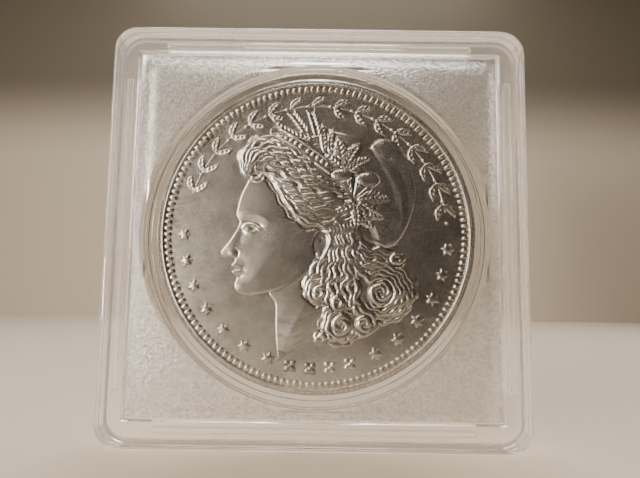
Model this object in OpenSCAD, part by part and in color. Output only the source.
// Square snap-together coin case with one large coin in it.
// It stands on its lower edge: +Z is up, X runs across the case, the coin's face looks towards -Y.
// The halves meet at Y = 0, and the origin is under the middle of the case.
// Each piece is drawn lying flat on the plane where the halves meet, then stood up.

/* [Case] */
// Side of the square case
case_side = 50.8; // [50:0.1:54]
// Thickness of the closed case
case_t = 6.35; // [6.2:0.05:7]
// Radius of the case's corners
corner_r = 2.8; // [2:0.1:3.5]
// Width of the raised rim round each face
rim_w = 3.2; // [3:0.1:3.4]
// Height of the rim above the panel inside it
rim_step = 0.45; // [0.3:0.05:0.5]
// Thickness of the panel inside the rim
panel_t = 1.2; // [1:0.05:1.25]
// Width of the 45 degree break along the outer edges
edge_break = 0.35; // [0.1:0.05:0.5]
// Width of the outer wall where the halves meet
wall_w = 3; // [2.8:0.1:3]

/* [Coin seat] */
// Radial gap round the coin in its seat
seat_gap = 0.25; // [0.1:0.05:0.4]
// Thickness of the round wall that holds the coin
seat_wall = 1.7; // [1:0.1:1.8]
// Gap between the two round walls when the case is shut
seat_wall_gap = 0.1; // [0.1:0.05:0.3]
// Outer radius of the raised ring on the face, over the round wall
ring_r = 21.2; // [20.8:0.1:21.5]
// Width of the raised ring
ring_w = 1.6; // [1:0.1:1.8]
// Height of the raised ring above the panel
ring_h = 0.25; // [0.1:0.05:0.3]

/* [Snap ribs] */
// Length of each rib on the back half
rib_len = 38; // [30:0.5:40]
// Thickness of each rib
rib_w = 0.6; // [0.4:0.05:0.8]
// Height of each rib above the plane where the halves meet
rib_h = 1.3; // [0.8:0.1:1.4]
// Distance from the case's outer edge to a rib's middle
rib_inset = 1.88; // [1.6:0.01:2]
// Gap round a rib in its groove
rib_gap = 0.05; // [0.05:0.01:0.1]

/* [Coin] */
// Diameter of the coin
coin_d = 38.1; // [38:0.1:38.4]
// Thickness of the coin at its rim
coin_t = 2.6; // [2.4:0.05:2.8]
// Width of the coin's raised rim
coin_rim_w = 0.3; // [0.2:0.05:0.6]
// Width of the raised band of beads inside the rim
bead_w = 0.7; // [0.5:0.05:0.9]
// Height of the beads below the rim
bead_drop = 0.1; // [0.05:0.05:0.15]
// Depth of the field below the rim on each side
field_depth = 0.45; // [0.2:0.05:0.5]
// Width of the 45 degree break on the coin's edges
coin_break = 0.12; // [0.05:0.01:0.2]

/* [Hidden] */
half_t = case_t / 2;
panel_top = half_t - rim_step;
panel_under = panel_top - panel_t;
coin_r = coin_d / 2;
seat_r = coin_r + seat_gap;
bead_r = coin_r - coin_rim_w;
field_r = bead_r - bead_w;
face_z = coin_t / 2;
// Outline of one side of the coin, from the middle of its face to its edge
coin_side = [
  [0, face_z - field_depth],
  [field_r, face_z - field_depth],
  [field_r, face_z - bead_drop],
  [bead_r, face_z - bead_drop],
  [bead_r, face_z],
  [coin_r - coin_break, face_z],
  [coin_r, face_z - coin_break]
];
function flipped(points) = [for (i = [len(points) - 1:-1:0]) [points[i].x, -points[i].y]];
// Extra length that carries a cut clear through a surface
cut = 1;
$fn = 96;

// Stands a piece drawn on the meeting plane upright, with its front towards -Y
module stand_up() {
  translate([0, 0, case_side / 2]) rotate([90, 0, 0]) children();
}

// Square with quarter-round corners
module rounded_square(side, r) {
  square([side - 2 * r, side], center = true);
  square([side, side - 2 * r], center = true);
  for (x = [-1, 1], y = [-1, 1])
    translate([x * (side / 2 - r), y * (side / 2 - r)]) circle(r);
}

// Puts a shape along each of the four sides of the case
module on_four_sides() {
  for (turn = [0:90:270]) rotate([0, 0, turn]) children();
}

// Material taken off the outer edge of a half, at 45 degrees
module edge_cut() {
  straight = case_side - 2 * corner_r;
  on_four_sides() {
    translate([0, case_side / 2, half_t]) rotate([45, 0, 0])
      cube([straight, edge_break * sqrt(2), 2 * edge_break * sqrt(2)], center = true);
    translate([case_side / 2 - corner_r, case_side / 2 - corner_r, half_t])
      rotate_extrude(angle = 90)
        polygon([
          [corner_r - edge_break, 0],
          [corner_r, -edge_break],
          [corner_r + cut, -edge_break],
          [corner_r + cut, cut],
          [corner_r - edge_break, cut]
        ]);
  }
}

// A bar along each side, centred on the line of the snap ribs and grown by gap
module snap_bars(low, high, gap) {
  on_four_sides()
    translate([0, case_side / 2 - rib_inset, (low + high) / 2])
      cube([rib_len + 2 * gap, rib_w + 2 * gap, high - low], center = true);
}

// What the two halves share: rim, panel, window, raised ring and coin seat
module half_case() {
  difference() {
    linear_extrude(half_t) rounded_square(case_side, corner_r);
    edge_cut();
    translate([0, 0, panel_top]) linear_extrude(rim_step + cut)
      square(case_side - 2 * rim_w, center = true);
    translate([0, 0, -cut]) linear_extrude(cut + panel_under)
      square(case_side - 2 * wall_w, center = true);
  }
  translate([0, 0, seat_wall_gap / 2]) linear_extrude(panel_under - seat_wall_gap / 2)
    difference() {
      circle(seat_r + seat_wall);
      circle(seat_r);
    }
  translate([0, 0, panel_top]) linear_extrude(ring_h)
    difference() {
      circle(ring_r);
      circle(ring_r - ring_w);
    }
}

// The half over the coin's face, with a groove along each side for a snap rib
module front_half() {
  color([0.86, 0.85, 0.84, 0.35]) stand_up() difference() {
    half_case();
    snap_bars(-cut, rib_h + rib_gap, rib_gap);
  }
}

// The half behind the coin, with a snap rib along each side
module back_half() {
  color([0.84, 0.83, 0.82, 0.35]) stand_up() {
    mirror([0, 0, 1]) half_case();
    snap_bars(-rib_gap, rib_h, 0);
  }
}

// A coin with a raised rim and a band for the beads on both sides
module coin() {
  color([0.66, 0.64, 0.6]) stand_up() rotate_extrude()
    polygon(concat(coin_side, flipped(coin_side)));
}

front_half();
back_half();
coin();
